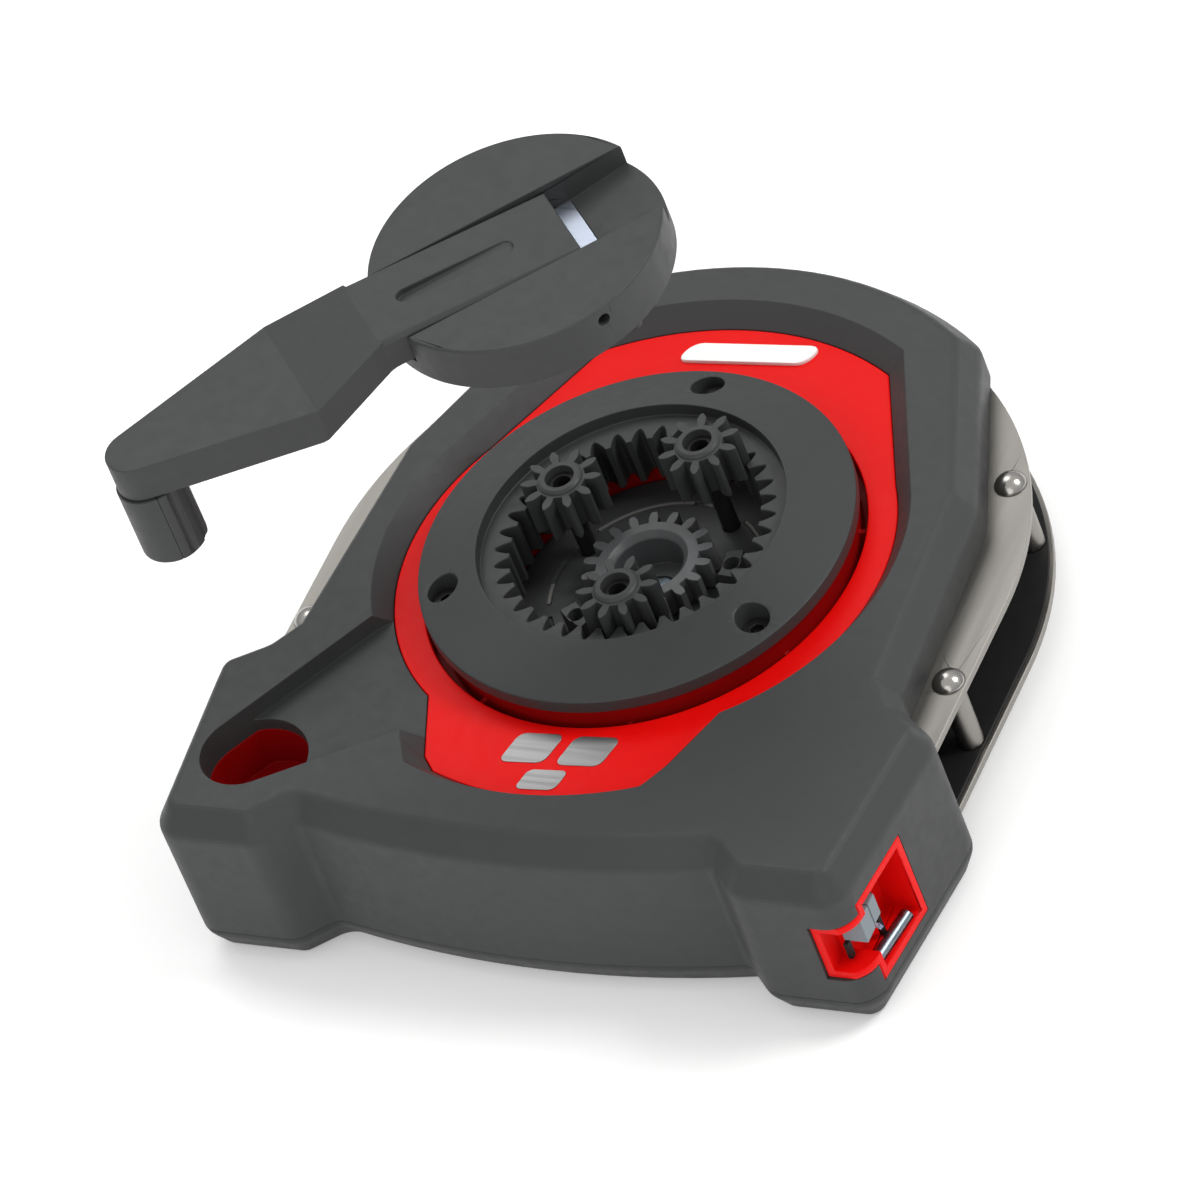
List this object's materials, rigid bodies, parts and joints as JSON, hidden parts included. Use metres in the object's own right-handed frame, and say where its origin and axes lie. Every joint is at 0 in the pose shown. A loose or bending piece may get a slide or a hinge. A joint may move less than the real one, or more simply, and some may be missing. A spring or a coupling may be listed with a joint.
{
  "type": "chalk line reel",
  "caption": "Hand-cranked chalk line reel with a planetary gear train under a folding crank, shown with the crank lifted off the face along its axis.",
  "frame": {"origin": "on the crank and spool axis, in the plane of the case's flat back face", "axes": "+Z along the crank axis out of the front face, +Y towards the top of the arch, +X towards the side with the line outlet"},
  "size_m": [0.1406, 0.1447, 0.1122],
  "materials": {
    "housing": "satin moulded, fine texture",
    "red_plastic": "moulded, semi-gloss",
    "frame_metal": "brushed",
    "polished_steel": "polished",
    "gear_plastic": "moulded, fine texture",
    "black_plastic": "matt",
    "screw_steel": "black oxide",
    "bearing_metal": "sintered, plain",
    "line_cord": "braided cord, chalked",
    "felt": "pressed felt",
    "shim_steel": "bright rolled"
  },
  "bodies": {
    "case": {"front_housing": "housing", "rear_housing": "housing", "front_side_plate": "frame_metal", "rear_side_plate": "frame_metal", "rear_liner": "black_plastic", "frame_standoffs": "frame_metal", "frame_rivets": "polished_steel", "arch_spacers": "black_plastic", "chalk_drum": "black_plastic", "gear_chassis": "red_plastic", "face_plate": "red_plastic", "knob_cup": "red_plastic", "outlet_frame": "red_plastic", "wear_pin": "polished_steel", "line_wiper": "felt", "wiper_bars": "black_plastic", "line_run": "line_cord", "door_pin": "shim_steel", "ring_gear": "gear_plastic", "ring_gear_screws": "screw_steel", "carrier_washer": "shim_steel", "rear_bush": "bearing_metal", "front_bush": "bearing_metal", "foot_screws": "screw_steel", "arch_screws": "screw_steel"},
    "crank_arm": {"crank_arm": "housing", "knob_axle": "screw_steel"},
    "crank_hub": {"crank_hub": "housing", "detent_spring": "shim_steel", "hinge_pin": "shim_steel"},
    "knob": {"knob_smooth": "housing", "knob_ribbed": "gear_plastic"},
    "fill_door": {"fill_door": "housing"},
    "spool": {"spool": "black_plastic", "wound_line": "line_cord", "spool_shaft": "shim_steel", "sun_gear": "gear_plastic"},
    "carrier": {"carrier_plate": "gear_plastic", "planet_pins": "shim_steel"},
    "bush_1": {"planet_bush_1": "bearing_metal"},
    "planet_1": {"planet_gear_1": "gear_plastic"},
    "bush_2": {"planet_bush_2": "bearing_metal"},
    "planet_2": {"planet_gear_2": "gear_plastic"},
    "bush_3": {"planet_bush_3": "bearing_metal"},
    "planet_3": {"planet_gear_3": "gear_plastic"}
  },
  "joints": [
    {"name": "spool_spin", "type": "hinge", "parent": "case", "child": "spool", "pos_m": [0, 0, 0.0124], "axis": [0, 0, 1], "continuous": true},
    {"name": "carrier_spin", "type": "hinge", "parent": "case", "child": "carrier", "pos_m": [0, 0, 0.0242], "axis": [0, 0, 1], "continuous": true},
    {"name": "crank_seat", "type": "slide", "parent": "carrier", "child": "crank_hub", "axis": [0, 0, -1], "range_m": [0, 0.063]},
    {"name": "planet_1_seat", "type": "slide", "parent": "carrier", "child": "bush_1", "axis": [0, 0, -1], "range_m": [0, 0.012]},
    {"name": "planet_1_spin", "type": "hinge", "parent": "bush_1", "child": "planet_1", "pos_m": [0.00848, 0.01531, 0.0422], "axis": [0, 0, 1], "continuous": true},
    {"name": "planet_2_seat", "type": "slide", "parent": "carrier", "child": "bush_2", "axis": [0, 0, -1], "range_m": [0, 0.009]},
    {"name": "planet_2_spin", "type": "hinge", "parent": "bush_2", "child": "planet_2", "pos_m": [-0.01616, 0.00672, 0.0392], "axis": [0, 0, 1], "continuous": true},
    {"name": "planet_3_seat", "type": "slide", "parent": "carrier", "child": "bush_3", "axis": [0, 0, -1], "range_m": [0, 0.009]},
    {"name": "planet_3_spin", "type": "hinge", "parent": "bush_3", "child": "planet_3", "pos_m": [0.00482, -0.01682, 0.0392], "axis": [0, 0, 1], "continuous": true},
    {"name": "arm_fold", "type": "hinge", "parent": "crank_hub", "child": "crank_arm", "pos_m": [0.0039, 0.00401, 0.1083], "axis": [-0.7169, 0.6972, 0], "range_deg": [0, 174]},
    {"name": "knob_spin", "type": "hinge", "parent": "crank_arm", "child": "knob", "pos_m": [-0.05145, -0.05291, 0.094], "axis": [0, 0, 1], "continuous": true},
    {"name": "door_swing", "type": "hinge", "parent": "case", "child": "fill_door", "pos_m": [-0.06863, -0.04396, 0.0165], "axis": [0, 0, -1], "range_deg": [0, 100]}
  ],
  "couplings": [
    {"joint": "carrier_spin", "follows": "spool_spin", "ratio": 0.32143},
    {"joint": "planet_1_seat", "follows": "crank_seat", "ratio": 0.19048},
    {"joint": "planet_1_spin", "follows": "spool_spin", "ratio": -1.2214},
    {"joint": "planet_2_seat", "follows": "crank_seat", "ratio": 0.14286},
    {"joint": "planet_2_spin", "follows": "spool_spin", "ratio": -1.2214},
    {"joint": "planet_3_seat", "follows": "crank_seat", "ratio": 0.14286},
    {"joint": "planet_3_spin", "follows": "spool_spin", "ratio": -1.2214}
  ]
}
